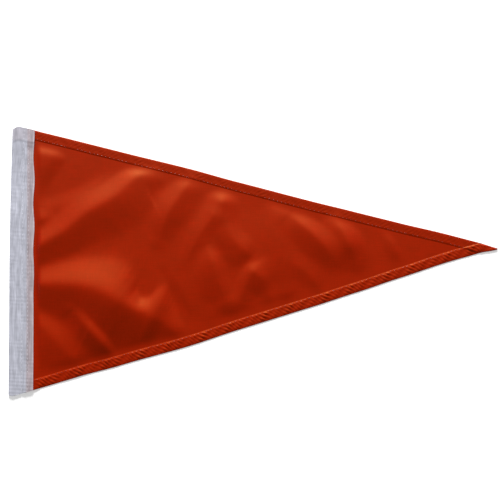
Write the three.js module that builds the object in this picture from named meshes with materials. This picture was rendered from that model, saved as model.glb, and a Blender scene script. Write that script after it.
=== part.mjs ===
// A small pennant flag lying on a surface, as it is cut and sewn: a triangle of cloth
// with its two long edges turned and hemmed, and a woven tape folded over its hoist edge.
// Millimetres. +X runs along the fly to the tip, +Y up the hoist, +Z up from the surface.
// The origin is under the middle of the flag.

import * as THREE from 'three';

// Overall sizes
const FLY = 457;
const HOIST = 254;
const FOLD_X = -FLY / 2;
const TIP_X = FLY / 2;

// Cloth
const CLOTH = 1.0;
const HEM_EXTRA = 0.8;
const HEM_STEP = 1.2;
const TOP_HEM = 8.6;
const BOTTOM_HEM = 9.3;
const EDGE_SLOPE = 124.5 / 437.5;
const TIP_HALF = 0.5;

// Tape
const TAPE = 1.0;
const TAPE_EDGE_X = -205.8;
const TAPE_WAVE = 0.3;
const TAPE_WAVE_LENGTH = 170;
const TAPE_TAPER = 2.2;
const TAPE_TAPER_FROM = -20;
const TAPE_TOP = { peak: 0.3, slant: 0.26, corner: 2.6 };
const TAPE_BOTTOM = { peak: 0.16, slant: 0.25, corner: 0.8 };
const SLEEVE_GAP = 1.0;
const SLEEVE_PUFF = 0.4;
const SLEEVE_PUFF_LENGTH = 118;
const NOSE = 0.09;
const INNER_NOSE = 0.13;
const INNER_NOSE_DEPTH = 0.03;

// How the cloth sits in the tape
const FIT = 0.3;
const HELD_LEVEL = TAPE + FIT;
const HOIST_EDGE_X = -212.5;
const RELEASE_X = -204.2;
const RELEASE_RUN = 13;

// How the cloth lies
const LOFT = 1.6;
const SETTLE = 0.45;
const FOLD_SCALE = 0.85;
const HEM_HOLD = 10;
const HEM_FREEDOM = 0.2;
const STEPS_ALONG_FOLD = 8;
const CREST_SHARPNESS = 3;

// Mesh spacing
const COLUMN = 6;
const HOIST_COLUMN = 3.4;
const ROW = 6;
const TIP_ROW = 2.4;
const TAPE_ROWS = 34;

// How far each long edge bows out from its straight line
const EDGE_BOWS = [
  { x: -215, top: -0.9, bottom: -2.1 },
  { x: -165, top: -0.4, bottom: -1.7 },
  { x: -125, top: -0.2, bottom: -0.2 },
  { x: -60, top: 0.5, bottom: 1.5 },
  { x: -15, top: -0.3, bottom: 0.5 },
  { x: 55, top: -0.6, bottom: 0.3 },
  { x: 95, top: -0.2, bottom: -0.4 },
  { x: 135, top: 0.1, bottom: -1.5 },
  { x: 180, top: 1.0, bottom: -2.5 },
  { x: 210, top: 0.9, bottom: -1.9 },
  { x: TIP_X, top: 0, bottom: 0 },
];

// Folds of the cloth, each along a bowed line through three places. wide is how far its
// flanks run out, high its height, and a negative lean makes its left flank the steeper one.
const FOLDS = [
  { name: 'upper ridge', from: [-207, 7], by: [-152, 44], to: [-96, 80], wide: 17, high: 3.8, lean: -0.32 },
  { name: 'main ridge', from: [-207, -22], by: [-132, -38], to: [-74, -78], wide: 19, high: 4.6 },
  { name: 'valley between them', from: [-207, -5], by: [-160, 0], to: [-126, -4], wide: 11, high: -1.6 },
  { name: 'notch, near side', from: [-124, -4], by: [-111, -28], to: [-101, -43], wide: 8, high: -2.4 },
  { name: 'notch, far side', from: [-101, -43], by: [-94, -33], to: [-88, -18], wide: 7, high: -2.0 },
  { name: 'top hem ridge', from: [-58, 70], by: [-84, 38], to: [-104, -16], wide: 13, high: 2.6 },
  { name: 'hollow beside it', from: [-108, 62], by: [-112, 42], to: [-120, 22], wide: 12, high: -1.2 },
  { name: 'hollow past it', from: [-48, 64], by: [-64, 30], to: [-76, 0], wide: 9, high: -1.2 },
  { name: 'arch, near leg', from: [-60, -8], by: [-48, 26], to: [-32, 46], wide: 10, high: 2.0 },
  { name: 'arch, far leg', from: [-26, 48], by: [-12, 30], to: [2, 4], wide: 9, high: 2.2 },
  { name: 'hollow in the arch', from: [-36, 30], by: [-28, 8], to: [-16, -12], wide: 11, high: -2.0 },
  { name: 'zigzag, first leg', from: [-44, 2], by: [-37, -26], to: [-28, -52], wide: 8, high: 1.6 },
  { name: 'zigzag, second leg', from: [-22, -54], by: [-10, -36], to: [0, -19], wide: 8, high: 2.0 },
  { name: 'zigzag, third leg', from: [4, -19], by: [11, -30], to: [18, -46], wide: 8, high: 1.6 },
  { name: 'slanting fold', from: [42, 34], by: [59, 16], to: [76, -3], wide: 9, high: 2.2 },
  { name: 'hollow below it', from: [34, 14], by: [52, -4], to: [70, -20], wide: 9, high: -1.4 },
  { name: 'hollow above it', from: [64, 32], by: [74, 14], to: [85, -6], wide: 6, high: -1.3 },
  { name: 'steep fold', from: [72, 33], by: [87, 13], to: [98, -20], wide: 10, high: 2.2 },
  { name: 'hollow past it', from: [105, 24], by: [112, 4], to: [116, -16], wide: 9, high: -0.9 },
  { name: 'last fold', from: [120, 22], by: [128, 4], to: [134, -12], wide: 8, high: 1.3 },
  { name: 'cross fold', from: [38, 45], by: [36, 0], to: [38, -38], wide: 14, high: 1.2 },
  { name: 'hollow before it', from: [10, 52], by: [11, 10], to: [20, -10], wide: 8, high: -0.8 },
  { name: 'low hem streak', from: [-168, -56], by: [-152, -77], to: [-140, -94], wide: 8, high: 2.4 },
  { name: 'hollow by it', from: [-158, -50], by: [-140, -72], to: [-126, -92], wide: 8, high: -1.0 },
  { name: 'low corner swell', from: [-207, -66], by: [-188, -76], to: [-172, -94], wide: 12, high: 2.0 },
  { name: 'main ridge foot', from: [-207, -50], by: [-180, -54], to: [-160, -50], wide: 11, high: -1.5 },
  { name: 'top corner swell', from: [-207, 90], by: [-190, 95], to: [-170, 97], wide: 9, high: 1.3 },
  { name: 'hollow over the ridge', from: [-180, 62], by: [-160, 80], to: [-140, 92], wide: 12, high: -0.9 },
  { name: 'small fold at the tape', from: [-207, 38], by: [-195, 40], to: [-182, 42], wide: 7, high: 1.0 },
];

// Places from one value to another, both included, about a step apart
function evenly(from, to, step) {
  const count = Math.max(1, Math.round((to - from) / step));
  return Array.from({ length: count + 1 }, (_, i) => from + ((to - from) * i) / count);
}

const clamp01 = (value) => Math.min(1, Math.max(0, value));
const smooth = (value) => {
  const t = clamp01(value);
  return t * t * (3 - 2 * t);
};

// Collects points and outward faces for one closed solid
class Solid {
  constructor() {
    this.positions = [];
    this.faces = [];
  }

  point(x, y, z) {
    this.positions.push(x, y, z);
    return this.positions.length / 3 - 1;
  }

  triangle(a, b, c) {
    this.faces.push(a, b, c);
  }

  quad(a, b, c, d) {
    this.triangle(a, b, c);
    this.triangle(a, c, d);
  }

  geometry() {
    const geometry = new THREE.BufferGeometry();
    geometry.setAttribute('position', new THREE.Float32BufferAttribute(this.positions, 3));
    geometry.setIndex(this.faces);
    geometry.computeVertexNormals();
    return geometry;
  }
}

// Outline of the cloth

function edgeBow(x, side) {
  let i = 0;
  while (i < EDGE_BOWS.length - 2 && x > EDGE_BOWS[i + 1].x) i += 1;
  const from = EDGE_BOWS[i];
  const to = EDGE_BOWS[i + 1];
  return THREE.MathUtils.lerp(from[side], to[side], smooth((x - from.x) / (to.x - from.x)));
}

const straightEdge = (x) => TIP_HALF + (TIP_X - x) * EDGE_SLOPE;
const topEdge = (x) => straightEdge(x) + edgeBow(x, 'top');
const bottomEdge = (x) => -straightEdge(x) - edgeBow(x, 'bottom');
const acrossHem = (width) => width * Math.hypot(1, EDGE_SLOPE);

// Folds of the cloth

function foldPath(fold) {
  const start = new THREE.Vector2(...fold.from);
  const end = new THREE.Vector2(...fold.to);
  const middle = new THREE.Vector2(...fold.by);
  const control = middle.multiplyScalar(2).sub(start.clone().add(end).multiplyScalar(0.5));
  return new THREE.QuadraticBezierCurve(start, control, end).getPoints(STEPS_ALONG_FOLD);
}

const FOLD_PATHS = FOLDS.map(foldPath);

// Nearest distance to a fold's line, and how far to its left the point lies
function offsetFromPath(path, x, y) {
  let nearest = { distance: Infinity, left: 0 };
  for (let i = 0; i < path.length - 1; i += 1) {
    const along = path[i + 1].clone().sub(path[i]);
    const away = new THREE.Vector2(x, y).sub(path[i]);
    const reach = clamp01(away.dot(along) / along.lengthSq());
    const left = along.cross(away) / along.length();
    const distance = away.addScaledVector(along, -reach).length();
    if (distance < nearest.distance) nearest = { distance, left };
  }
  return nearest;
}

function foldHeight(x, y) {
  let height = LOFT;
  FOLDS.forEach((fold, i) => {
    const { distance, left } = offsetFromPath(FOLD_PATHS[i], x, y);
    const flank = fold.wide * (1 + (fold.lean ?? 0) * Math.tanh((CREST_SHARPNESS * left) / fold.wide));
    height += FOLD_SCALE * fold.high * Math.exp(-((distance / flank) ** 2));
  });
  return height;
}

// The stitched hems lie nearly flat and the cloth rises away from them
function hemHold(x, y) {
  const cosine = 1 / Math.hypot(1, EDGE_SLOPE);
  const fromTop = Math.max(0, (topEdge(x) - y) * cosine - TOP_HEM);
  const fromBottom = Math.max(0, (y - bottomEdge(x)) * cosine - BOTTOM_HEM);
  const free = (distance) => 1 - (1 - HEM_FREEDOM) * Math.exp(-((distance / HEM_HOLD) ** 2));
  return free(fromTop) * free(fromBottom);
}

function clothUnderside(x, y) {
  const lying = Math.max(0, foldHeight(x, y) * hemHold(x, y) - SETTLE);
  return THREE.MathUtils.lerp(HELD_LEVEL, lying, smooth((x - RELEASE_X) / RELEASE_RUN));
}

// The turned hems add a layer, and both lie over each other at the tip
function clothThickness(x, y) {
  const top = smooth((y - topEdge(x) + acrossHem(TOP_HEM)) / HEM_STEP);
  const bottom = smooth((bottomEdge(x) + acrossHem(BOTTOM_HEM) - y) / HEM_STEP);
  return CLOTH + HEM_EXTRA * (top + bottom);
}

// Field: one piece of cloth with its turned hems

function fieldColumn(x) {
  const low = bottomEdge(x);
  const high = topEdge(x);
  const innerLow = low + acrossHem(BOTTOM_HEM);
  const innerHigh = high - acrossHem(TOP_HEM);
  const open = innerHigh - innerLow;
  if (open < ROW) {
    return { open: false, rows: evenly(low, high, TIP_ROW) };
  }
  const inner = evenly(innerLow, innerHigh, ROW);
  return { open: true, rows: [low, innerLow - HEM_STEP, ...inner, innerHigh + HEM_STEP, high] };
}

function fieldStations() {
  const stations = [];
  for (let x = HOIST_EDGE_X; x < RELEASE_X + RELEASE_RUN; x += HOIST_COLUMN) stations.push(x);
  return [...stations.slice(0, -1), ...evenly(stations.at(-1), TIP_X, COLUMN)];
}

// Joins two columns of points, of any two counts, into triangles facing up
function zip(columnA, columnB, emit) {
  let a = 0;
  let b = 0;
  const lastA = columnA.length - 1;
  const lastB = columnB.length - 1;
  while (a < lastA || b < lastB) {
    const stepA = a < lastA ? columnA[a + 1].y : Infinity;
    const stepB = b < lastB ? columnB[b + 1].y : Infinity;
    if (stepA <= stepB) {
      emit(columnA[a], columnB[b], columnA[a + 1]);
      a += 1;
    } else {
      emit(columnA[a], columnB[b], columnB[b + 1]);
      b += 1;
    }
  }
}

function zipColumns(columnA, columnB, emit) {
  if (!columnA.open || !columnB.open) {
    zip(columnA.points, columnB.points, emit);
    return;
  }
  const hemRows = 2;
  const split = (points) => [
    points.slice(0, 2),
    points.slice(1, hemRows + 1),
    points.slice(hemRows, -hemRows),
    points.slice(-hemRows - 1, -1),
    points.slice(-2),
  ];
  const partsA = split(columnA.points);
  const partsB = split(columnB.points);
  partsA.forEach((part, i) => zip(part, partsB[i], emit));
}

function fieldGeometry() {
  const solid = new Solid();
  const columns = fieldStations().map((x) => {
    const { open, rows } = fieldColumn(x);
    const points = rows.map((y) => {
      const under = clothUnderside(x, y);
      const over = under + clothThickness(x, y);
      return { y, under: solid.point(x, y, under), over: solid.point(x, y, over) };
    });
    return { open, points };
  });
  for (let i = 0; i < columns.length - 1; i += 1) {
    zipColumns(columns[i], columns[i + 1], (p, q, r) => {
      solid.triangle(p.over, q.over, r.over);
      solid.triangle(r.under, q.under, p.under);
    });
  }
  const wall = (p, q) => solid.quad(p.under, q.under, q.over, p.over);
  const first = columns[0].points;
  const last = columns[columns.length - 1].points;
  for (let i = 0; i < columns.length - 1; i += 1) {
    const here = columns[i].points;
    const next = columns[i + 1].points;
    wall(here[0], next[0]);
    wall(next[next.length - 1], here[here.length - 1]);
  }
  for (let i = 0; i < first.length - 1; i += 1) wall(first[i + 1], first[i]);
  for (let i = 0; i < last.length - 1; i += 1) wall(last[i], last[i + 1]);
  return solid.geometry();
}

// Heading: one tape folded over the hoist edge

// Places across the tape, from 0 at the outer fold to 1 at the edge beside the cloth.
// The front leaf steps up between SLEEVE_TO and CLOTH_FROM.
const SLEEVE_TO = 0.54;
const CLOTH_FROM = 0.64;
const FRONT_STATIONS = [0.16, 0.3, 0.44, SLEEVE_TO, CLOTH_FROM, 0.82, 1];
const BACK_STATIONS = [1, 0.82, CLOTH_FROM, 0.44, 0.3, 0.16];
const NOSE_TURNS = [0.12, 0.5, 0.88];

// The front leaf starts to rise this far in from each end, before it meets the hem
const HEM_RISE_FROM = HOIST / 2 - 18.7;
const HEM_RISE_RUN = 5;

function outerX(y) {
  const taper = clamp01((y - TAPE_TAPER_FROM) / (HOIST / 2 - TAPE_TAPER_FROM));
  return FOLD_X + TAPE_TAPER * taper ** 2;
}

const innerX = (y) => TAPE_EDGE_X + TAPE_WAVE * Math.sin((2 * Math.PI * y) / TAPE_WAVE_LENGTH);
const tapeX = (across, y) => THREE.MathUtils.lerp(outerX(y), innerX(y), across);

// Half the length of the tape, cut on the slant of the hem and rounded at its outer corner
function halfLength(across, y) {
  const { peak, slant, corner } = y > 0 ? TAPE_TOP : TAPE_BOTTOM;
  const beside = slant * Math.max(0, tapeX(across, y) - tapeX(peak, y));
  const rounded = corner * Math.max(0, (peak - across) / peak) ** 2;
  return HOIST / 2 - beside - rounded;
}

// The front leaf lies on the back one, and steps up over the cloth and its hems
function frontUnderside(across, y) {
  const puff = SLEEVE_PUFF * Math.cos((2 * Math.PI * y) / SLEEVE_PUFF_LENGTH);
  const overSleeve = TAPE + SLEEVE_GAP + puff;
  const overCloth = HELD_LEVEL + CLOTH + FIT;
  const step = smooth((across - SLEEVE_TO) / (CLOTH_FROM - SLEEVE_TO));
  const overHem = HEM_EXTRA * step * smooth((Math.abs(y) - HEM_RISE_FROM) / HEM_RISE_RUN);
  return THREE.MathUtils.lerp(overSleeve, overCloth, step) + overHem;
}

// Pairs of outer and inner points round the folded section, from mouth to mouth
function tapeSection(y) {
  const back = BACK_STATIONS.map((across) => ({
    outer: { across, z: 0 },
    inner: { across, z: TAPE },
  }));
  const front = FRONT_STATIONS.map((across) => ({
    outer: { across, z: frontUnderside(across, y) + TAPE },
    inner: { across, z: frontUnderside(across, y) },
  }));
  const inside = frontUnderside(0, y);
  const nose = NOSE_TURNS.map((turn) => ({
    outer: { across: NOSE * (1 - Math.sin(Math.PI * turn)), z: (inside + TAPE) * turn },
    inner: {
      across: INNER_NOSE - INNER_NOSE_DEPTH * Math.sin(Math.PI * turn),
      z: THREE.MathUtils.lerp(TAPE, inside, turn),
    },
  }));
  return [...back, ...nose, ...front];
}

function headingGeometry() {
  const solid = new Solid();
  const rings = evenly(-1, 1, 2 / TAPE_ROWS).map((share) => {
    const y = (share * HOIST) / 2;
    const place = ({ across, z }) => solid.point(tapeX(across, y), share * halfLength(across, y), z);
    return tapeSection(y).map(({ outer, inner }) => ({ outer: place(outer), inner: place(inner) }));
  });
  const ends = rings[0].length - 1;
  for (let row = 0; row < TAPE_ROWS; row += 1) {
    const here = rings[row];
    const next = rings[row + 1];
    for (let i = 0; i < ends; i += 1) {
      solid.quad(here[i].outer, here[i + 1].outer, next[i + 1].outer, next[i].outer);
      solid.quad(here[i].inner, next[i].inner, next[i + 1].inner, here[i + 1].inner);
    }
    solid.quad(here[0].outer, next[0].outer, next[0].inner, here[0].inner);
    solid.quad(here[ends].outer, here[ends].inner, next[ends].inner, next[ends].outer);
  }
  const low = rings[0];
  const high = rings[TAPE_ROWS];
  for (let i = 0; i < ends; i += 1) {
    solid.quad(low[i].outer, low[i].inner, low[i + 1].inner, low[i + 1].outer);
    solid.quad(high[i].outer, high[i + 1].outer, high[i + 1].inner, high[i].inner);
  }
  return solid.geometry();
}

// Materials and assembly

const nylon = new THREE.MeshStandardMaterial({ color: 0xb23a18, roughness: 0.62, metalness: 0 });
const webbing = new THREE.MeshStandardMaterial({ color: 0xdcdce4, roughness: 0.85, metalness: 0 });

function piece(name, geometry, material) {
  const mesh = new THREE.Mesh(geometry, material);
  mesh.name = name;
  return mesh;
}

const pennant = new THREE.Group();
pennant.add(piece('field', fieldGeometry(), nylon));
pennant.add(piece('heading', headingGeometry(), webbing));

export default pennant;
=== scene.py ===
"""Dresses a small pennant flag: its hemmed cloth, its folded heading tape, the sewing and a plain stage."""

import math
from collections import namedtuple

import bpy
import numpy as np
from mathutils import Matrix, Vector


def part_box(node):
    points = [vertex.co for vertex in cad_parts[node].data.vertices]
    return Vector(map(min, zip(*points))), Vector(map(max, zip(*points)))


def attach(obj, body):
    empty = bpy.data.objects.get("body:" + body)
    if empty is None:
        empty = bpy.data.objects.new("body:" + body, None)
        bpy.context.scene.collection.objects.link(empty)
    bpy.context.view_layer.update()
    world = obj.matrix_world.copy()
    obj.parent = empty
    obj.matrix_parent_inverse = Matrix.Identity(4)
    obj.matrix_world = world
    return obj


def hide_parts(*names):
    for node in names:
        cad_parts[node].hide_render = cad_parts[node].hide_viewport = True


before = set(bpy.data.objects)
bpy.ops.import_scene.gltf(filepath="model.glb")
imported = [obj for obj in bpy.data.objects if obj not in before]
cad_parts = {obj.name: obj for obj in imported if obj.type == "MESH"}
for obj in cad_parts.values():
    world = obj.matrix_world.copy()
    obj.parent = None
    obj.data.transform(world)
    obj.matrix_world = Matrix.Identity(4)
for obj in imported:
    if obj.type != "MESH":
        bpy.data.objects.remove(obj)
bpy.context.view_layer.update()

bl_info = {
    "name": "Pennant Flag",
    "version": (1, 0, 0),
    "blender": (4, 5, 0),
    "location": "View3D > Sidebar > Pennant",
    "description": "Makes the cloth, tape, sewing and stage of a small hemmed pennant",
    "category": "Object",
}

# Shapes are worked out in millimetres and made in metres
MM = 0.001

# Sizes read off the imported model
FIELD_LOW, FIELD_HIGH = (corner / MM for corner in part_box("field"))
TAPE_LOW, TAPE_HIGH = (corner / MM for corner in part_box("heading"))
TIP_X = FIELD_HIGH.x
FOLD_X = TAPE_LOW.x
HALF_HOIST = TAPE_HIGH.y
HOIST_EDGE_X = FIELD_LOW.x

# Cloth outline, in millimetres
EDGE_SLOPE = 124.5 / 437.5
EDGE_COSINE = 1 / math.hypot(1, EDGE_SLOPE)
TIP_HALF = 0.5

# How the cloth lies, in millimetres. Inside the hems it stands up a little, its lowest places
# rest on the surface, the hems hold the folds down, and the tape holds the hoist edge up.
LOFT = 1.6
LOFT_RUN = 26
SETTLE = 0.45
SOFT_REST = 0.4
HEM_HOLD = 7
HEM_FREEDOM = 0.45
REST = 0.12
HELD = 0.92
RELEASE_X = -204.6
RELEASE_RUN = 6

# How far the top and the bottom edge bow out past a straight line at x
EdgeBow = namedtuple("EdgeBow", "x top bottom")
EDGE_BOWS = [
    EdgeBow(-215, -0.9, -2.1),
    EdgeBow(-165, -0.4, -1.7),
    EdgeBow(-125, -0.2, -0.2),
    EdgeBow(-60, 0.5, 1.5),
    EdgeBow(-15, -0.3, 0.5),
    EdgeBow(55, -0.6, 0.3),
    EdgeBow(95, -0.2, -0.4),
    EdgeBow(135, 0.1, -1.5),
    EdgeBow(180, 1.0, -2.5),
    EdgeBow(210, 0.9, -1.9),
    EdgeBow(TIP_X, 0, 0),
]

# Folds of the cloth, each along a smooth line. A place on it is its x and y, the height of
# the crest there, and how far the flank on the line's left and the one on its right run out.
Fold = namedtuple("Fold", "name places")
Place = namedtuple("Place", "x y high left right")
FOLDS = [
    Fold("upper ridge", [
        Place(-208, 9, 3.1, 14, 18), Place(-180, 23, 3.3, 15, 20), Place(-155, 42, 3.7, 16, 26),
        Place(-128, 57, 3.7, 16, 28), Place(-108, 75, 3.3, 14, 24), Place(-92, 80, 2.2, 10, 14),
    ]),
    Fold("main ridge", [
        Place(-208, -24, 2.6, 13, 18), Place(-165, -27, 5.9, 24, 31), Place(-142, -34, 7.3, 31, 40),
        Place(-130, -41, 7.3, 27, 42), Place(-121, -47, 6.2, 17, 42), Place(-112, -52, 5.0, 13, 36),
        Place(-103, -55, 4.3, 16, 32), Place(-95, -58, 4.3, 29, 28), Place(-84, -64, 2.3, 15, 24),
        Place(-70, -76, 1.7, 14, 12),
    ]),
    Fold("hollow past its foot", [
        Place(-84, -18, -0.3, 6, 6), Place(-76, -40, -0.9, 9, 9), Place(-62, -66, -0.5, 7, 7),
    ]),
    Fold("low hem streak", [
        Place(-170, -50, 0.5, 7, 14), Place(-156, -67, 2.3, 7, 21), Place(-144, -80, 2.4, 7, 20),
        Place(-132, -94, 1.3, 6, 12),
    ]),
    Fold("low corner swell", [
        Place(-206, -58, 1.2, 10, 18), Place(-188, -76, 2.0, 14, 26), Place(-168, -98, 2.0, 14, 26),
    ]),
    Fold("top corner swell", [
        Place(-209, 100, 2.0, 10, 30), Place(-190, 97, 2.0, 10, 30), Place(-165, 90, 0.6, 8, 20),
    ]),
    Fold("hollow in the top corner", [
        Place(-172, 98, -0.8, 10, 10), Place(-186, 76, -0.8, 10, 10), Place(-196, 50, 0, 6, 6),
    ]),
    Fold("hollow above the upper ridge", [
        Place(-200, 58, -0.8, 24, 12), Place(-170, 70, -1.3, 26, 12), Place(-138, 90, -0.7, 12, 8),
    ]),
    Fold("small fold at the tape", [
        Place(-208, 37, 1.2, 8, 8), Place(-198, 38, 0.9, 8, 8), Place(-186, 41, 0, 6, 6),
    ]),
    Fold("top hem ridge", [
        Place(-88, 16, 0.7, 10, 10), Place(-79, 41, 2.5, 13, 16),
        Place(-58, 71, 2.5, 14, 16),
    ]),
    Fold("arch", [
        Place(-29, 49, 2.9, 16, 14), Place(-31, 28, 1.8, 15, 15), Place(-31, 4, 0.3, 18, 16),
    ]),
    Fold("arch, near leg", [
        Place(-64, -6, 0.3, 9, 8), Place(-51, 18, 1.2, 11, 10), Place(-38, 37, 1.1, 11, 9),
    ]),
    Fold("arch, far leg", [
        Place(-26, 30, 0.4, 9, 9), Place(-19, 14, 1.6, 11, 16), Place(-10, 4, 1.6, 12, 17),
        Place(-2, -3, 0.4, 9, 10),
    ]),
    Fold("zigzag, first leg", [
        Place(-44, 9, 0.4, 8, 8), Place(-39, -8, 2.3, 10, 16), Place(-34, -26, 2.0, 10, 18),
        Place(-27, -42, 1.0, 12, 12),
    ]),
    Fold("zigzag, low corner", [
        Place(-28, -48, 0.6, 13, 15), Place(-20, -49, 0.8, 14, 16), Place(-13, -46, 0.6, 13, 15),
    ]),
    Fold("zigzag, second leg", [
        Place(-14, -42, 0.6, 9, 9), Place(-8, -30, 1.4, 10, 14), Place(-1, -18, 1.9, 9, 18),
    ]),
    Fold("zigzag, third leg", [
        Place(1, -18, 0.6, 9, 10), Place(8, -27, 0.9, 8, 13), Place(14, -42, 0.3, 7, 8),
    ]),
    Fold("swell along the low hem", [
        Place(-44, -58, 0.3, 12, 6), Place(-14, -51, 0.3, 13, 8), Place(18, -41, 0.5, 11, 9),
        Place(36, -36, 0.3, 9, 7),
    ]),
    Fold("slanting fold", [
        Place(34, 36, 1.0, 10, 14), Place(48, 24, 2.7, 12, 15), Place(62, 11, 2.6, 12, 16),
        Place(72, -2, 1.4, 11, 13), Place(79, -16, 0.3, 8, 9),
    ]),
    Fold("low fold", [
        Place(36, -8, 0.3, 9, 8), Place(52, -22, 0.9, 10, 11), Place(63, -39, 0.6, 9, 9),
    ]),
    Fold("steep fold", [
        Place(79, 31, 2.8, 13, 13), Place(88, 10, 3.4, 14, 15), Place(94, -6, 1.5, 13, 15),
        Place(100, -24, 0.3, 9, 9),
    ]),
    Fold("hollow past it", [
        Place(114, 24, -0.8, 9, 9), Place(116, 8, -0.9, 9, 9), Place(118, -14, -0.6, 8, 8),
    ]),
    Fold("last fold", [
        Place(122, 20, 1.2, 7, 12), Place(130, 5, 1.2, 7, 13), Place(137, -12, 0.5, 6, 8),
    ]),
    Fold("cross fold", [
        Place(20, 52, 1.2, 12, 14), Place(23, 16, 1.3, 13, 14), Place(31, -40, 0.7, 10, 11),
    ]),
]

# Steps between two places of a fold, how quickly its one flank gives way to the other at the
# crest, and how round its crest and its feet are, as shares of its reach
FOLD_STEPS = 5
CREST_SHARPNESS = 3
CREST_ROUND = 0.16
FOOT_ROUND = 0.22

# Section of a hem, from the turned-under edge inside it to the cloth below it.
# across is 0 at the stitched inner fold and 1 at the outer fold, inset is a distance
# from there into the hem, and lift the height above the cloth.
HemRow = namedtuple("HemRow", "across inset lift")
HEM_SECTION = [
    HemRow(0.0, 1.5, 0.12),
    HemRow(0.0, 0.3, 0.12),
    HemRow(0.0, 0.0, 0.15),
    HemRow(0.0, 0.25, 0.19),
    HemRow(0.0, 0.7, 0.23),
    HemRow(0.12, 0.0, 0.26),
    HemRow(0.2, 0.0, 0.25),
    HemRow(0.3, 0.0, 0.24),
    HemRow(0.4, 0.0, 0.25),
    HemRow(0.5, 0.0, 0.28),
    HemRow(0.6, 0.0, 0.31),
    HemRow(0.7, 0.0, 0.34),
    HemRow(0.8, 0.0, 0.36),
    HemRow(0.9, 0.0, 0.37),
    HemRow(0.96, 0.0, 0.35),
    HemRow(1.0, -0.2, 0.31),
    HemRow(1.0, -0.04, 0.25),
    HemRow(1.0, 0.0, 0.18),
    HemRow(1.0, -0.06, 0.08),
    HemRow(1.0, -0.4, 0.0),
]
HEM_LAYER = 0.45
CROSSING_RUN = 0.8

# Waves along a hem, in radians per millimetre, that keep its puckers from being alike
Wave = namedtuple("Wave", "amount rate start")
PUCKER_DRIFT = [Wave(1.3, 0.31, 0), Wave(0.9, 0.117, 2)]
PUCKER_UNEVEN = [Wave(0.3, 0.21, 0), Wave(0.3, 0.53, 1.3)]
PUCKER_LEAST = 0.7
PUCKER_RISE = 3
PUCKER_SLANT = 1.15
PUCKER_START = 0.22
PUCKER_END = 1.08
PUCKER_FADE = 0.4


def linear(colour):
    """An sRGB hex colour as linear values."""
    channels = [int(colour[i : i + 2], 16) / 255 for i in (1, 3, 5)]
    return [c / 12.92 if c <= 0.04045 else ((c + 0.055) / 1.055) ** 2.4 for c in channels]


def length(name, description, default):
    """A size in metres that the panel shows as a length."""
    return bpy.props.FloatProperty(name=name, description=description, default=default, unit="LENGTH")


def colour(name, description, default):
    """A colour that the panel shows as a colour field."""
    return bpy.props.FloatVectorProperty(
        name=name, description=description, default=linear(default), subtype="COLOR", size=3, min=0, max=1
    )


class PennantSizes(bpy.types.PropertyGroup):
    """Sizes that a maker would change."""

    cloth: length("Cloth", "Thickness of the cloth", 0.0002)
    tape: length("Tape", "Thickness of the heading tape", 0.0007)
    top_hem: length("Top hem", "Width of the top hem", 0.0090)
    bottom_hem: length("Bottom hem", "Width of the bottom hem", 0.0093)
    stitch: length("Stitch", "Pitch of the sewing", 0.004)
    thread: length("Thread", "Thickness of the sewing thread", 0.0003)
    floor: length("Floor", "Side of the floor", 8.0)


class PennantColours(bpy.types.PropertyGroup):
    """Colours of the cloth, the tape, the threads and the floor."""

    cloth: colour("Cloth", "Orange-red polyamide", "#8A0500")
    cloth_gloss: colour("Cloth gloss", "Tint of the cloth's gloss", "#FFB01A")
    cloth_thread: colour("Cloth thread", "Thread of the hems", "#842810")
    tape: colour("Tape", "White woven tape", "#A7A8B3")
    # This colour also paints shade on the tape's turned end
    tape_over_cloth_and_end_shade: colour("Tape over cloth", "Tape where the cloth shows through it", "#9B9095")
    tape_thread: colour("Tape thread", "Thread of the heading", "#CBCBD2")
    floor: colour("Floor", "Pale floor", "#F4F4F4")


class PennantLight(bpy.types.PropertyGroup):
    """Strengths of the lights."""

    key: bpy.props.FloatProperty(name="Key", description="Power of the window", default=440, unit="POWER")
    sky: bpy.props.FloatProperty(name="Sky", description="Strength of the light all round", default=0.35)
    glow: bpy.props.FloatProperty(name="Glow", description="Faint glow of the light table", default=0.3)


# Outline of the cloth


def smooth(value):
    """0 below 0, 1 above 1, and an even curve between."""
    t = np.clip(value, 0, 1)
    return t * t * (3 - 2 * t)


def mix(a, b, share):
    """The value that lies a share of the way from a to b."""
    return a + (b - a) * share


def edge_bow(x, side):
    """How far a long edge bows out at x."""
    stations = [bow.x for bow in EDGE_BOWS]
    values = np.array([getattr(bow, side) for bow in EDGE_BOWS], float)
    place = np.clip(np.searchsorted(stations, x, side="right") - 1, 0, len(stations) - 2)
    start = np.take(stations, place)
    end = np.take(stations, place + 1)
    return mix(values[place], values[place + 1], smooth((x - start) / (end - start)))


def top_edge(x):
    """y of the top edge at x."""
    return TIP_HALF + (TIP_X - x) * EDGE_SLOPE + edge_bow(x, "top")


def bottom_edge(x):
    """y of the bottom edge at x."""
    return -TIP_HALF - (TIP_X - x) * EDGE_SLOPE - edge_bow(x, "bottom")


# Height of the cloth


def fold_path(fold):
    """Points along a fold's line with its height and reaches at each."""
    places = np.array(fold.places, float)
    ends = np.vstack([2 * places[0] - places[1], places, 2 * places[-1] - places[-2]])
    t = np.linspace(0, 1, FOLD_STEPS + 1)[:-1, None]
    spans = []
    for before, start, end, after in zip(ends, ends[1:], ends[2:], ends[3:]):
        spans.append(
            start
            + t * (end - before) / 2
            + t**2 * (2 * before - 5 * start + 4 * end - after) / 2
            + t**3 * (3 * start - before - 3 * end + after) / 2
        )
    return np.vstack([*spans, places[-1:]])


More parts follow.
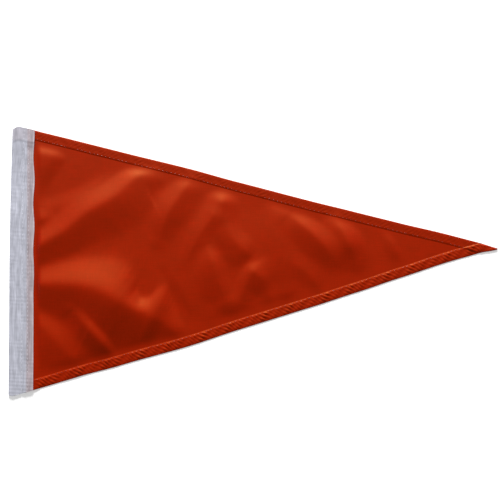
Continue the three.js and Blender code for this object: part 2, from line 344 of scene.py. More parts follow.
def fold_height(fold, x, y):
    """Height that one fold adds at x, y."""
    nearest = np.full(np.shape(x), np.inf)
    side = np.zeros(np.shape(x))
    sizes = np.zeros((3, *np.shape(x)))
    path = fold_path(fold)
    for start, end in zip(path[:-1], path[1:]):
        dx, dy = end[:2] - start[:2]
        share = np.clip(((x - start[0]) * dx + (y - start[1]) * dy) / (dx * dx + dy * dy), 0, 1)
        away_x, away_y = x - start[0] - share * dx, y - start[1] - share * dy
        distance = np.hypot(away_x, away_y)
        closer = distance < nearest
        nearest = np.where(closer, distance, nearest)
        side = np.where(closer, (dx * away_y - dy * away_x) / math.hypot(dx, dy), side)
        here = [mix(start[i], end[i], share) for i in (2, 3, 4)]
        sizes = np.where(closer, here, sizes)
    high, left, right = sizes
    reach = mix(right, left, (1 + np.tanh(CREST_SHARPNESS * side / (left + right) * 2)) / 2)
    # Straight flanks, rounded at the crest and run out softly at the foot
    run = np.hypot(nearest / reach, CREST_ROUND) - CREST_ROUND
    height = (1 - run + np.hypot(1 - run, FOOT_ROUND)) / 2
    foot = (FOOT_ROUND / 2) ** 2 / np.maximum(run, 0.5)
    return high * np.maximum(0, height - np.minimum(foot, height))


def cloth_level(x, y, sizes):
    """Height of the middle of the cloth above the surface, in millimetres."""
    x, y = np.broadcast_arrays(np.asarray(x, float), np.asarray(y, float))
    height = sum(fold_height(fold, x, y) for fold in FOLDS)
    free = loft = 1.0
    for edge, hem in ((top_edge(x) - y, sizes.top_hem), (y - bottom_edge(x), sizes.bottom_hem)):
        inside = np.maximum(0, edge * EDGE_COSINE - hem / MM)
        free = free * (1 - (1 - HEM_FREEDOM) * np.exp(-((inside / HEM_HOLD) ** 2)))
        loft = loft * (1 - np.exp(-((inside / LOFT_RUN) ** 2)))
    height = LOFT * loft + height * free - SETTLE
    lying = REST + (height + np.hypot(height, SOFT_REST)) / 2
    return mix(HELD, lying, smooth((x - RELEASE_X) / RELEASE_RUN))


def pucker(x, across, width, sizes, strength):
    """Slanting ripples that the sewing pulls into a hem, deepest at the stitches."""
    along = x / EDGE_COSINE
    phase = 2 * math.pi * (along - PUCKER_SLANT * across * width) / (sizes.stitch / MM)
    phase += sum(wave.amount * np.sin(wave.rate * along + wave.start) for wave in PUCKER_DRIFT)
    hold = smooth(across / PUCKER_START) * smooth((PUCKER_END - across) / PUCKER_FADE)
    long_wave, short_wave = PUCKER_UNEVEN
    uneven = PUCKER_LEAST + long_wave.amount * np.sin(long_wave.rate * along + long_wave.start)
    uneven = uneven + short_wave.amount * np.sin(short_wave.rate * along + short_wave.start + 4 * across)
    beyond_tape = smooth((x - TAPE_HIGH.x) / PUCKER_RISE)
    return strength * uneven * hold * beyond_tape * (1 + np.cos(phase)) / 2


# Meshes

EDGE_ANGLE = math.radians(50)


class Sheet:
    """Points and faces of a sheet, gathered column by column, in millimetres."""

    def __init__(self):
        self.columns = []
        self.count = 0
        self.faces = []

    def column(self, x, y, lift, flat_x, flat_y, layers_and_fold_shade=0):
        """Adds a column of points and gives their numbers. lift is their height above the lie of
        the cloth, flat_x and flat_y their places on the flat cloth."""
        column = np.array(np.broadcast_arrays(x, y, lift, flat_x, flat_y, layers_and_fold_shade), float)
        self.columns.append(column)
        start = self.count
        self.count += column.shape[1]
        return list(range(start, self.count))

    def join(self, first, second):
        """Joins two columns of any two lengths into faces."""
        a = b = 0
        while a < len(first) - 1 or b < len(second) - 1:
            share_a = (a + 1) / max(1, len(first) - 1)
            share_b = (b + 1) / max(1, len(second) - 1)
            more_a, more_b = a < len(first) - 1, b < len(second) - 1
            if more_a and more_b and abs(share_a - share_b) < 0.25 / len(first):
                self.faces.append((first[a], second[b], second[b + 1], first[a + 1]))
                a, b = a + 1, b + 1
            elif more_a and (not more_b or share_a <= share_b):
                self.faces.append((first[a], second[b], first[a + 1]))
                a += 1
            else:
                self.faces.append((first[a], second[b], second[b + 1]))
                b += 1

    def make(self, name, level):
        """The sheet as an object at the origin, lying on level, with its flat places as its UV map."""
        x, y, lift, flat_x, flat_y, layers_and_fold_shade = np.concatenate(self.columns, axis=1)
        points = np.stack([x, y, level(x, y) + lift], axis=1) * MM
        mesh = bpy.data.meshes.new(name)
        mesh.from_pydata(points.tolist(), [], self.faces)
        flat = np.stack([flat_x, flat_y], axis=1) * MM
        uv = mesh.uv_layers.new(name="Flat")
        corners = np.zeros(len(mesh.loops), np.int32)
        mesh.loops.foreach_get("vertex_index", corners)
        uv.data.foreach_set("uv", flat[corners].ravel())
        piece = bpy.data.objects.new(name, mesh)
        bpy.context.collection.objects.link(piece)
        paint(piece, "layers_and_fold_shade", layers_and_fold_shade)
        return piece


def select_only(piece):
    """Makes one piece the selected and active one."""
    bpy.ops.object.select_all(action="DESELECT")
    piece.select_set(True)
    bpy.context.view_layer.objects.active = piece


def give_thickness(piece, thickness):
    """Turns a sheet into cloth of a real thickness, half to either side, and smooths its faces."""
    select_only(piece)
    modifier = piece.modifiers.new("Thickness", "SOLIDIFY")
    modifier.thickness = thickness
    modifier.offset = 0
    modifier.use_even_offset = False
    bpy.ops.object.modifier_apply(modifier=modifier.name)
    bpy.ops.object.mode_set(mode="EDIT")
    bpy.ops.mesh.select_all(action="SELECT")
    bpy.ops.mesh.normals_make_consistent(inside=False)
    bpy.ops.object.mode_set(mode="OBJECT")
    bpy.ops.object.shade_smooth_by_angle(angle=EDGE_ANGLE)


def paint(piece, name, values):
    """Stores one number at each point of a piece for its material."""
    attribute = piece.data.attributes.new(name, "FLOAT", "POINT")
    attribute.data.foreach_set("value", np.asarray(values, np.float32))


# Materials

# Thickness of threads and streaks in x and y of the flat cloth, in millimetres, and how much
# lighter or darker they are. The finest are drawn coarser than the real weave, so that they show.
Grain = namedtuple("Grain", "x y amount")
CLOTH_GRAINS = [Grain(16, 0.9, 0.06), Grain(0.9, 12, 0.04), Grain(1.3, 1.3, 0.03)]
TAPE_GRAINS = [Grain(0.9, 14, 0.13), Grain(2.6, 40, 0.1), Grain(5, 9, 0.09)]
MOTTLE = 14
RIB = 1.25
RIB_DEPTH = 0.06
RIB_PATCH = 15
TWIST = 0.9


def add(tree, kind, inputs=None, **settings):
    """Adds a node with its settings, and its inputs as values or as sockets to link."""
    node = tree.nodes.new(kind)
    for key, value in settings.items():
        setattr(node, key, value)
    for key, value in (inputs or {}).items():
        if isinstance(value, bpy.types.NodeSocket):
            tree.links.new(value, node.inputs[key])
        else:
            node.inputs[key].default_value = value
    return node


def spread(tree, noise, amount):
    """Noise as a factor round one, an amount to either side."""
    limits = {"From Min": 0.3, "From Max": 0.7, "To Min": 1 - amount, "To Max": 1 + amount}
    return add(tree, "ShaderNodeMapRange", {"Value": noise, **limits}).outputs[0]


def times(tree, first, second):
    """The product of two factors."""
    return add(tree, "ShaderNodeMath", {0: first, 1: second}, operation="MULTIPLY").outputs[0]


def grained(tree, flat, grains, shade):
    """A shade with each of the grains drawn into it."""
    for grain in grains:
        scale = (1 / (grain.x * MM), 1 / (grain.y * MM), 1)
        drawn = add(tree, "ShaderNodeMapping", {"Vector": flat, "Scale": scale})
        streaks = add(tree, "ShaderNodeTexNoise", {"Vector": drawn.outputs[0], "Scale": 1, "Detail": 1})
        shade = times(tree, shade, spread(tree, streaks.outputs["Fac"], grain.amount))
    return shade


def new_material(name):
    """An empty material with its tree and its shader, linked to the output."""
    material = bpy.data.materials.new(name)
    material.use_nodes = True
    tree = material.node_tree
    tree.nodes.clear()
    shader = add(tree, "ShaderNodeBsdfPrincipled")
    add(tree, "ShaderNodeOutputMaterial", {"Surface": shader.outputs["BSDF"]})
    return material, tree, shader


def rgba(values):
    """A colour with the full opacity that a colour socket wants."""
    return (*values, 1.0)


def woven_polyamide(colours):
    """Closely woven filament cloth: a soft sheen, a faint grid of threads, and small flecks."""
    material, tree, shader = new_material("woven_polyamide_orange_red")
    place = add(tree, "ShaderNodeUVMap", uv_map="Flat")
    flat = place.outputs["UV"]
    mottle = add(tree, "ShaderNodeTexNoise", {"Vector": flat, "Scale": 1 / (MOTTLE * MM), "Detail": 3})
    # Threads that stand out of the weave a little, along the cloth and across it
    shade = grained(tree, flat, CLOTH_GRAINS, spread(tree, mottle.outputs["Fac"], 0.05))
    # The thin cloth lets light through, so it looks deeper where a hem lies over it, and painted shade
    # darkens the outer fold of each hem further
    layers_and_fold_shade = add(tree, "ShaderNodeAttribute", attribute_name="layers_and_fold_shade")
    depth_and_fold_shade = add(
        tree,
        "ShaderNodeMapRange",
        {"Value": layers_and_fold_shade.outputs["Fac"], "From Min": 0, "From Max": 1, "To Min": 1, "To Max": 0.95},
        clamp=False,
    )
    shade = times(tree, shade, depth_and_fold_shade.outputs[0])
    tint = add(tree, "ShaderNodeVectorMath", {0: list(colours.cloth), "Scale": shade}, operation="SCALE")
    tree.links.new(tint.outputs[0], shader.inputs["Base Color"])
    shader.inputs["Roughness"].default_value = 0.52
    shader.inputs["Specular IOR Level"].default_value = 0.5
    shader.inputs["Specular Tint"].default_value = rgba(colours.cloth_gloss)
    return material


def woven_tape(colours):
    """White woven tape: matt, with ribs across it in patches, lengthwise streaks, a painted highlight along
    its firm edge and painted shade on its turned end.
    """
    material, tree, shader = new_material("woven_white_tape")
    place = add(tree, "ShaderNodeUVMap", uv_map="Flat")
    flat = place.outputs["UV"]
    parts = add(tree, "ShaderNodeSeparateXYZ", {"Vector": flat})
    turns = times(tree, parts.outputs["Y"], 2 * math.pi / (RIB * MM))
    ribs = add(tree, "ShaderNodeMath", {0: turns}, operation="SINE")
    # The ribs show where the tape is drawn tight and fade out elsewhere
    cloud = add(tree, "ShaderNodeTexNoise", {"Vector": flat, "Scale": 1 / (RIB_PATCH * MM), "Detail": 1})
    patches = {"Value": cloud.outputs["Fac"], "From Min": 0.42, "From Max": 0.62}
    tight = add(tree, "ShaderNodeMapRange", patches)
    end = add(
        tree,
        "ShaderNodeMapRange",
        {"Value": parts.outputs["Y"], "From Min": -0.095, "From Max": -0.115, "To Min": 0, "To Max": 1.2},
    )
    drawn = add(tree, "ShaderNodeMath", {0: tight.outputs[0], 1: end.outputs[0]}, operation="MAXIMUM")
    ribs = times(tree, ribs.outputs[0], drawn.outputs[0])
    rib_limits = {"From Min": -1, "From Max": 1, "To Min": 0.95, "To Max": 1.05}
    rib = add(tree, "ShaderNodeMapRange", {"Value": ribs, **rib_limits})
    # Streaks of thicker yarns along the tape, and soft blotches of handling
    shade = grained(tree, flat, TAPE_GRAINS, rib.outputs[0])
    # Painted highlight: the firm woven edge is drawn lighter, as if it caught more light
    firm_edge_highlight = add(tree, "ShaderNodeAttribute", attribute_name="selvedge_highlight")
    edge = add(tree, "ShaderNodeMapRange", {"Value": firm_edge_highlight.outputs["Fac"], "To Min": 1, "To Max": 1.4})
    shade = times(tree, shade, edge.outputs[0])
    # Where the cloth shows through, the tape takes this colour; on its turned end the same colour is painted
    # shade
    cloth_or_end_shade = add(tree, "ShaderNodeAttribute", attribute_name="cloth_showing_and_end_shade")
    tint = add(
        tree,
        "ShaderNodeMix",
        {0: cloth_or_end_shade.outputs["Fac"], 6: rgba(colours.tape), 7: rgba(colours.tape_over_cloth_and_end_shade)},
        data_type="RGBA",
    )
    final = add(tree, "ShaderNodeVectorMath", {0: tint.outputs[2], "Scale": shade}, operation="SCALE")
    tree.links.new(final.outputs[0], shader.inputs["Base Color"])
    bump = add(tree, "ShaderNodeBump", {"Height": ribs, "Distance": RIB_DEPTH * MM, "Strength": 0.6})
    tree.links.new(bump.outputs["Normal"], shader.inputs["Normal"])
    shader.inputs["Roughness"].default_value = 0.85
    shader.inputs["Specular IOR Level"].default_value = 0.25
    return material


def twisted_thread(name, tint):
    """Twisted polyester sewing thread: a little lighter and glossier than what it sews."""
    material, tree, shader = new_material(name)
    place = add(tree, "ShaderNodeTexCoord")
    scale = 1 / (TWIST * MM)
    twist = add(tree, "ShaderNodeTexNoise", {"Vector": place.outputs["Object"], "Scale": scale, "Detail": 1})
    limits = {"From Min": 0.3, "From Max": 0.7, "To Min": 0.8, "To Max": 1.15}
    tone = add(tree, "ShaderNodeMapRange", {"Value": twist.outputs["Fac"], **limits})
    final = add(tree, "ShaderNodeVectorMath", {0: list(tint), "Scale": tone.outputs[0]}, operation="SCALE")
    tree.links.new(final.outputs[0], shader.inputs["Base Color"])
    shader.inputs["Roughness"].default_value = 0.45
    return material


def light_table(tint, glow):
    """Opal acrylic of a light table: pale, even and matt, and its faint glow thins the edge shadows."""
    material, tree, shader = new_material("opal_acrylic_light_table")
    place = add(tree, "ShaderNodeTexCoord")
    cloud = add(tree, "ShaderNodeTexNoise", {"Vector": place.outputs["Object"], "Scale": 1.5, "Detail": 2})
    tone = add(tree, "ShaderNodeMapRange", {"Value": cloud.outputs["Fac"], "To Min": 0.995, "To Max": 1.005})
    final = add(tree, "ShaderNodeVectorMath", {0: list(tint), "Scale": tone.outputs[0]}, operation="SCALE")
    tree.links.new(final.outputs[0], shader.inputs["Base Color"])
    shader.inputs["Roughness"].default_value = 0.9
    shader.inputs["Emission Color"].default_value = (1, 1, 1, 1)
    shader.inputs["Emission Strength"].default_value = glow
    return material


# Field

# Spacing of the mesh along the flag and across it, in millimetres
COLUMN_STEP = 0.95
ROW_STEP = 2.3

# Height of the puckers in each hem
TOP_PUCKER = 0.26
BOTTOM_PUCKER = 0.72

# Lifts above which the turned-over layer of a hem starts to pucker, and counts as a second layer
LAYER_FROM = 0.18
LAYER_RUN = 0.07
SECOND_LAYER = 0.2

# The outer fold of a hem, where the cloth is seen edge on: painted shade darkens it, counted as more layers
# than lie there
FOLD_SHADE_LAYERS = 1.3
FOLD_EDGE = 0.25
MOST_INSET = 0.2


def hem_column(sheet, x, outer, inner, sizes, strength, over):
    """Adds the rows of one hem at x, from inside it round its outer fold to the cloth below."""
    width = abs(outer - inner)
    out = math.copysign(1, outer - inner)
    across, inset, lift = (np.array(values, float) for values in zip(*HEM_SECTION))
    inset = np.clip(inset, -MOST_INSET * width, MOST_INSET * width)
    y = inner + out * (across * width + inset)
    layered = smooth((lift - LAYER_FROM) / LAYER_RUN)
    raised = lift + layered * (pucker(x, across, width, sizes, strength) + over(y))
    # Laid flat, only the last two rows lie inside the outer fold
    below = np.arange(len(y)) > len(y) - 3
    flat_y = outer + out * np.abs(outer - y) * np.where(below, -1, 1)
    layers_and_fold_shade = np.where(lift > SECOND_LAYER, 1.0, 0.0)
    # Painted shade: the outer fold counts as more layers, so the cloth is drawn darker there
    layers_and_fold_shade[np.abs(outer - y) < FOLD_EDGE] = FOLD_SHADE_LAYERS
    return sheet.column(x, y, raised, x, flat_y, layers_and_fold_shade), y[-1]


def field_sheet(sizes):
    """The triangle of cloth as one sheet, from one hem's turned edge to the other's."""
    sheet = Sheet()
    count = round((TIP_X - HOIST_EDGE_X) / COLUMN_STEP)
    before = None
    for x in np.linspace(HOIST_EDGE_X, TIP_X, count + 1):
        low, high = float(bottom_edge(x)), float(top_edge(x))
        inner_low = min(low + sizes.bottom_hem / MM / EDGE_COSINE, high - 0.1)
        inner_high = max(high - sizes.top_hem / MM / EDGE_COSINE, low + 0.1)
        low_rows, start = hem_column(sheet, x, low, inner_low, sizes, BOTTOM_PUCKER, hem_crossing(x, sizes))
        high_rows, end = hem_column(sheet, x, high, inner_high, sizes, TOP_PUCKER, no_crossing)
        high_rows.reverse()
        rows = np.linspace(start, end, max(2, round((end - start) / ROW_STEP)) + 1)[1:-1]
        middle = [low_rows[-1], *sheet.column(x, rows, 0, x, rows), high_rows[0]]
        if before:
            for first, second in zip(before, (low_rows, middle, high_rows)):
                sheet.join(first, second)
        before = (low_rows, middle, high_rows)
    return sheet.make("field_cloth", lambda x, y: cloth_level(x, y, sizes))


def hem_crossing(x, sizes):
    """How far the bottom hem is raised where it lies over the top hem near the tip."""
    inner = top_edge(x) - sizes.top_hem / MM / EDGE_COSINE
    return lambda y: HEM_LAYER * smooth((y - inner) / CROSSING_RUN)


def no_crossing(y):
    """The top hem lies flat all along."""
    return 0 * y


class PENNANT_OT_field(bpy.types.Operator):
    """Makes the hemmed triangle of cloth"""

    bl_idname = "pennant.field"
    bl_label = "Field"

    def execute(self, context):
        sizes = context.scene.pennant_sizes
        piece = field_sheet(sizes)
        give_thickness(piece, sizes.cloth)
        piece.data.materials.append(woven_polyamide(context.scene.pennant_colours))
        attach(piece, "root")
        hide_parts("field")
        return {"FINISHED"}


# Heading

# The folded tape, in millimetres, with places across it from 0 at the outer fold to 1 at the
# edge by the cloth
SLEEVE_TO = 0.54
CLOTH_FROM = 0.66
STITCH_ROWS = (0.52, 0.76)
BACK_LEVEL = 0.4
SLEEVE_LEVEL = 1.25
OVER_CLOTH_LEVEL = 1.42
SLEEVE_PUFF = 0.15
PUFF_TO = 0.5
PUFF_LENGTH = 118
GROOVE_DEPTH = 0.16
GROOVE_REACH = 0.9
HEM_RISE = 0.45
HEM_RISE_FROM = HALF_HOIST - 20
HEM_RISE_RUN = 7
TURNED_END = 14.5
TURNED_LAYER = 0.3
TURNED_RUN = 3
TAPE_TAPER = 2.2
TAPE_TAPER_FROM = -20
TAPE_WAVE = 0.6
TAPE_WAVE_LENGTH = 46
TAPE_WAVE_PEAK = 77
TapeEnd = namedtuple("TapeEnd", "peak slant corner")
TAPE_TOP = TapeEnd(0.3, 0.26, 2.6)
TAPE_BOTTOM = TapeEnd(0.16, 0.25, 0.8)
TAPE_STEP = 1.0
TAPE_ACROSS_STEPS = 24
NOSE_STEPS = 6
NOSE_WIDTH = 0.06
TAPE_EDGE_X = TAPE_HIGH.x - TAPE_WAVE

# Where the tape looks different, in millimetres: over the cloth, which shows through it; on its turned end,
# where shade is painted; and along its firm edge, where a highlight is painted
SHOWS_BEFORE = 0.6
SHOWS_RUN = 1.2
TURNED_SHADE = 0.35
SELVEDGE_HIGHLIGHT = 1.3
SELVEDGE_HIGHLIGHT_RUN = 0.9


def tape_x(across, y):
    """x of a place across the tape."""
    taper = np.clip((y - TAPE_TAPER_FROM) / (HALF_HOIST - TAPE_TAPER_FROM), 0, 1)
    outer = FOLD_X + TAPE_TAPER * taper**2
    wave = np.cos(2 * math.pi * (y - TAPE_WAVE_PEAK) / TAPE_WAVE_LENGTH) * smooth((y + 70) / 110)
    inner = TAPE_EDGE_X + TAPE_WAVE * wave
    return mix(outer, inner, across)


def half_length(across, y):
    """Half the tape's length there: cut on the slant of the hem, its outer corner rounded."""
    end = TAPE_TOP if y > 0 else TAPE_BOTTOM
    beside = end.slant * np.maximum(0, tape_x(across, y) - tape_x(end.peak, y))
    rounded = end.corner * np.maximum(0, (end.peak - across) / end.peak) ** 2
    return HALF_HOIST - beside - rounded


def front_level(across, y):
    """Height of the middle of the front leaf."""
    bulge = np.sin(math.pi * np.clip(across / PUFF_TO, 0, 1))
    puff = SLEEVE_PUFF * np.cos(2 * math.pi * y / PUFF_LENGTH) * bulge
    step = smooth((across - SLEEVE_TO) / (CLOTH_FROM - SLEEVE_TO))
    hem = HEM_RISE * step * smooth((abs(y) - HEM_RISE_FROM) / HEM_RISE_RUN)
    turned = TURNED_LAYER * smooth((y - HALF_HOIST + TURNED_END) / TURNED_RUN)
    level = mix(SLEEVE_LEVEL + puff, OVER_CLOTH_LEVEL, step) + hem + turned
    width = tape_x(1, y) - tape_x(0, y)
    for row in STITCH_ROWS:
        level = level - GROOVE_DEPTH * np.exp(-(((across - row) * width / GROOVE_REACH) ** 2))
    return level


def heading_ring(y):
    """Places and heights round the folded tape at y, from the back edge to the front one."""
    flat_part = np.linspace(1, NOSE_WIDTH, TAPE_ACROSS_STEPS)
    top = float(front_level(np.array(NOSE_WIDTH), y))
    turn = np.linspace(0, math.pi, NOSE_STEPS + 2)[1:-1]
    middle, half = (top + BACK_LEVEL) / 2, (top - BACK_LEVEL) / 2
    across = [*flat_part, *(NOSE_WIDTH * (1 - np.sin(turn))), *flat_part[::-1]]
    front = front_level(flat_part[::-1], y)
    heights = [*np.full(len(flat_part), BACK_LEVEL), *(middle - half * np.cos(turn)), *front]
    return np.array(across), np.array(heights)


def heading_sheet():
    """The folded tape as one sheet."""
    sheet = Sheet()
    before = None
    for y in np.linspace(-HALF_HOIST, HALF_HOIST, round(2 * HALF_HOIST / TAPE_STEP) + 1):
        across, heights = heading_ring(y)
        reach = half_length(across, y) / HALF_HOIST
        x = tape_x(across, y)
        flat = np.concatenate([[0], np.cumsum(np.hypot(np.diff(x), np.diff(heights)))])
        ring = sheet.column(x, y * reach, heights, flat, y * reach)
        if before:
            sheet.join(before, ring)
        before = ring
    return sheet.make("heading_tape", lambda x, y: 0)


class PENNANT_OT_heading(bpy.types.Operator):
    """Makes the tape folded over the hoist edge"""

    bl_idname = "pennant.heading"
    bl_label = "Heading"

    def execute(self, context):
        sizes = context.scene.pennant_sizes
        piece = heading_sheet()
        give_thickness(piece, sizes.tape)
        points = np.array([vertex.co[:] for vertex in piece.data.vertices]) / MM
        over = smooth((points[:, 0] - HOIST_EDGE_X + SHOWS_BEFORE) / SHOWS_RUN)
        # Painted shade: the turned top end is greyed part of the way to the colour of the tape over the cloth
        turned = smooth((points[:, 1] - HALF_HOIST + TURNED_END) / TURNED_RUN)
        paint(piece, "cloth_showing_and_end_shade", np.maximum(over, TURNED_SHADE * turned))
        # Painted highlight along the tape's firm edge by the cloth
        paint(piece, "selvedge_highlight", smooth((points[:, 0] - tape_x(1, points[:, 1]) + SELVEDGE_HIGHLIGHT) / SELVEDGE_HIGHLIGHT_RUN))
        piece.data.materials.append(woven_tape(context.scene.pennant_colours))
        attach(piece, "root")
        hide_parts("heading")
        return {"FINISHED"}


# Sewing

# One stitch: the share of its pitch that shows, its sides and cuts, and how its ends dip and thin
STITCH_SHARE = 0.84
STITCH_SIDES = 6
STITCH_CUTS = 4
STITCH_DIP = 1.0
STITCH_THIN = 0.35


def stitch_pattern(sizes):
    """One stitch along X, modelled from a cylinder: thick in the middle, its ends drawn down."""
    bpy.ops.object.select_all(action="DESELECT")
    long = sizes.stitch * STITCH_SHARE
    bpy.ops.mesh.primitive_cylinder_add(vertices=STITCH_SIDES, radius=sizes.thread / 2, depth=long)
    stitch = bpy.context.object
    stitch.rotation_euler = (0, math.radians(90), 0)
    bpy.ops.object.transform_apply(location=False, rotation=True, scale=False)
    bpy.ops.object.mode_set(mode="EDIT")
    for cut in range(1, STITCH_CUTS + 1):
        place = -long / 2 + long * cut / (STITCH_CUTS + 1)
        bpy.ops.mesh.select_all(action="SELECT")
        bpy.ops.mesh.bisect(plane_co=(place, 0, 0), plane_no=(1, 0, 0))
    bpy.ops.object.mode_set(mode="OBJECT")
    for vertex in stitch.data.vertices:
        out = abs(vertex.co.x) / (long / 2)
        thin = 1 - STITCH_THIN * out**2
        vertex.co.y *= thin
        vertex.co.z = vertex.co.z * thin - STITCH_DIP * sizes.thread * out**3
    return stitch


def sew(name, pattern, places, material):
    """Copies a stitch to each place, given as its middle, its direction and its upward side."""
    base = np.array([vertex.co[:] for vertex in pattern.data.vertices])
    base_faces = [list(polygon.vertices) for polygon in pattern.data.polygons]
    points, faces = [], []
    for middle, along, up in places:
        side = np.cross(up, along)
        turned = np.array([along, side / np.linalg.norm(side), up])
        faces.extend([[corner + len(points) for corner in face] for face in base_faces])
        points.extend((base @ turned + middle * MM).tolist())
    mesh = bpy.data.meshes.new(name)
    mesh.from_pydata(points, [], faces)
    piece = bpy.data.objects.new(name, mesh)
    bpy.context.collection.objects.link(piece)
    select_only(piece)
    bpy.ops.object.mode_set(mode="EDIT")
    bpy.ops.mesh.select_all(action="SELECT")
    bpy.ops.mesh.normals_make_consistent(inside=False)
    bpy.ops.object.mode_set(mode="OBJECT")
    bpy.ops.object.shade_smooth()
    mesh.materials.append(material)
    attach(piece, "root")
    return piece


def seam_places(line, start, end, pitch, flip=False):
    """Stitch places along a line, given as a function from places on it to points."""
    s = np.arange(start + pitch / 2, end, pitch)
    along = line(s + pitch / 3) - line(s - pitch / 3)
    along /= np.linalg.norm(along, axis=1)[:, None]
    up = np.array([0, 0, -1.0 if flip else 1.0])
    up = up - along * (along @ up)[:, None]
    up /= np.linalg.norm(up, axis=1)[:, None]
    return list(zip(line(s), along, up))


# The sewing of each hem. out is the way to the outer edge, from_fold the distance from the
# stitched inner fold to the row.
HemSeam = namedtuple("HemSeam", "name edge hem out from_fold")
HEM_SEAMS = [
    HemSeam("top_hem_sewing", top_edge, "top_hem", 1, 1.1),
    HemSeam("bottom_hem_sewing", bottom_edge, "bottom_hem", -1, 0.8),
]

# How far the thread lies above and below the cloth, and where the rows keep inside the edges
SEAM_LIFT = 0.34
BACK_SEAM_LIFT = 0
SEAM_INSIDE = 0.4
SEAM_START = 0.8
SEAM_END = 16

# How far the heading's thread stands out of the tape, and where its rows end
THREAD_OUT = 0.03
BACK_THREAD_IN = 0.11
HEADING_SEAM_END = 3.5


def hem_seam(seam, sizes, back):
    """The line of one hem's sewing, on the face or on the back."""

    def line(x):
        inset = (getattr(sizes, seam.hem) / MM - seam.from_fold) / EDGE_COSINE
        y = seam.edge(x) - seam.out * inset
        lift = np.full(len(x), BACK_SEAM_LIFT if back else SEAM_LIFT)
        if seam.out < 0 and not back:
            y = np.minimum(y, top_edge(x) - SEAM_INSIDE)
            lift = lift + hem_crossing(x, sizes)(y)
        return np.stack([x, y, cloth_level(x, y, sizes) + lift], axis=1)

    return line


class PENNANT_OT_hem_sewing(bpy.types.Operator):
    """Sews one row along each hem"""

    bl_idname = "pennant.hem_sewing"
    bl_label = "Hem sewing"

    def execute(self, context):
        sizes = context.scene.pennant_sizes
        thread = twisted_thread("twisted_thread_orange_red", context.scene.pennant_colours.cloth_thread)
        pattern = stitch_pattern(sizes)
        pitch = sizes.stitch / MM * EDGE_COSINE
        ends = (TAPE_EDGE_X + SEAM_START, TIP_X - SEAM_END)
        for seam in HEM_SEAMS:
            places = seam_places(hem_seam(seam, sizes, False), *ends, pitch)
            places += seam_places(hem_seam(seam, sizes, True), *ends, pitch, flip=True)
            piece = sew(seam.name, pattern, places, thread)
        bpy.data.objects.remove(pattern)
        return {"FINISHED"}


def heading_seam(row, sizes, back):
    """The line of one row of the heading's sewing, on the face or on the back."""
    half = sizes.tape / MM / 2

    def line(y):
        across = np.full(len(y), row)
        front = front_level(across, y) + half + THREAD_OUT
        z = np.full(len(y), BACK_LEVEL - half + BACK_THREAD_IN) if back else front
        return np.stack([tape_x(across, y), y, z], axis=1)

    return line


class PENNANT_OT_heading_sewing(bpy.types.Operator):
    """Sews two rows along the heading"""

    bl_idname = "pennant.heading_sewing"
    bl_label = "Heading sewing"

    def execute(self, context):
        sizes = context.scene.pennant_sizes
        thread = twisted_thread("twisted_thread_white", context.scene.pennant_colours.tape_thread)
        pattern = stitch_pattern(sizes)
        places = []
        reach = HALF_HOIST - HEADING_SEAM_END
        for row in STITCH_ROWS:
            places += seam_places(heading_seam(row, sizes, False), -reach, reach, sizes.stitch / MM)
            places += seam_places(heading_seam(row, sizes, True), -reach, reach, sizes.stitch / MM, flip=True)
        piece = sew("heading_sewing", pattern, places, thread)
        bpy.data.objects.remove(pattern)
        return {"FINISHED"}


# Stage

LENS = 85
SENSOR = 36
AIM = Vector((-0.0035, 0.0041, 0))
CAMERA_AZIMUTH = math.radians(-1.25)
CAMERA_ELEVATION = math.radians(82)
CAMERA_DISTANCE = 1.1074
KEY_AZIMUTH = math.radians(93)
KEY_ELEVATION = math.radians(19)
KEY_DISTANCE = 4
KEY_SIDE = 1.4


def look_at(thing, place, target):
    """Places a camera or light and turns it to a target."""
    thing.location = place
    thing.rotation_euler = (target - place).to_track_quat("-Z", "Y").to_euler()


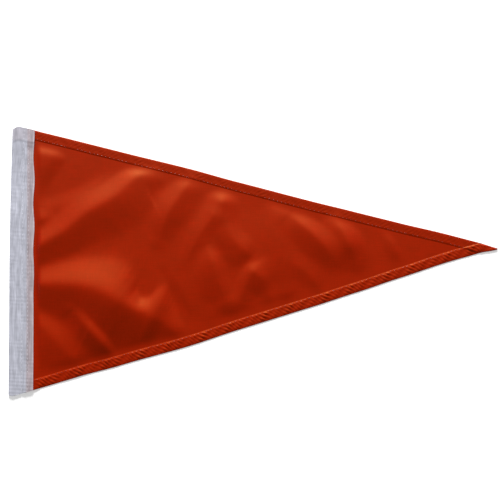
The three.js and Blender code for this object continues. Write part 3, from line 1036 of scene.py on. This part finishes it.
class PENNANT_OT_stage(bpy.types.Operator):
    """Lays the floor and sets the lights and the camera"""

    bl_idname = "pennant.stage"
    bl_label = "Stage"

    def execute(self, context):
        sizes = context.scene.pennant_sizes
        light = context.scene.pennant_light
        bpy.ops.object.select_all(action="DESELECT")
        bpy.ops.mesh.primitive_plane_add(size=sizes.floor)
        floor = context.object
        floor.name = "floor"
        floor.data.materials.append(light_table(context.scene.pennant_colours.floor, light.glow))

        bpy.ops.object.light_add(type="AREA")
        key = context.object
        key.name = "window_light"
        key.data.shape = "SQUARE"
        key.data.size = KEY_SIDE
        key.data.energy = light.key
        level = math.cos(KEY_ELEVATION)
        sideways = Vector((math.cos(KEY_AZIMUTH), math.sin(KEY_AZIMUTH), 0)) * level
        toward = sideways + Vector((0, 0, math.sin(KEY_ELEVATION)))
        look_at(key, toward * KEY_DISTANCE, Vector((0, 0, 0)))

        world = bpy.data.worlds.new("room_light")
        world.use_nodes = True
        background = world.node_tree.nodes["Background"]
        background.inputs["Color"].default_value = (1, 1, 1, 1)
        background.inputs["Strength"].default_value = light.sky
        context.scene.world = world
        context.scene.view_settings.view_transform = "Standard"

        bpy.ops.object.camera_add()
        camera = context.object
        camera.data.lens = LENS
        camera.data.sensor_width = SENSOR
        level = math.cos(CAMERA_ELEVATION)
        across = Vector((math.sin(CAMERA_AZIMUTH), -math.cos(CAMERA_AZIMUTH), 0)) * level
        back = across + Vector((0, 0, math.sin(CAMERA_ELEVATION)))
        look_at(camera, AIM + back * CAMERA_DISTANCE, AIM)
        context.scene.camera = camera
        return {"FINISHED"}


class PENNANT_PT_panel(bpy.types.Panel):
    """Lists the steps, sizes, colours and lights"""

    bl_idname = "PENNANT_PT_panel"
    bl_label = "Pennant"
    bl_space_type = "VIEW_3D"
    bl_region_type = "UI"
    bl_category = "Pennant"

    def draw(self, context):
        for step in STEPS:
            self.layout.operator(step.bl_idname)
        for name in GROUPS:
            group = getattr(context.scene, name)
            box = self.layout.box()
            for key in group.__annotations__:
                box.prop(group, key)


GROUPS = {
    "pennant_sizes": PennantSizes,
    "pennant_colours": PennantColours,
    "pennant_light": PennantLight,
}
STEPS = (
    PENNANT_OT_field,
    PENNANT_OT_heading,
    PENNANT_OT_hem_sewing,
    PENNANT_OT_heading_sewing,
    PENNANT_OT_stage,
)


def register():
    """Registers the groups of sizes, the operators and the panel."""
    for group in GROUPS.values():
        bpy.utils.register_class(group)
    for step in (*STEPS, PENNANT_PT_panel):
        bpy.utils.register_class(step)
    for name, group in GROUPS.items():
        setattr(bpy.types.Scene, name, bpy.props.PointerProperty(type=group))


def unregister():
    """Takes them out again."""
    for name in GROUPS:
        delattr(bpy.types.Scene, name)
    for step in (PENNANT_PT_panel, *STEPS):
        bpy.utils.unregister_class(step)
    for group in GROUPS.values():
        bpy.utils.unregister_class(group)


def main():
    """Makes the whole pennant and its stage."""
    register()
    bpy.ops.pennant.field()
    bpy.ops.pennant.heading()
    bpy.ops.pennant.hem_sewing()
    bpy.ops.pennant.heading_sewing()
    bpy.ops.pennant.stage()


if __name__ == "__main__":
    main()
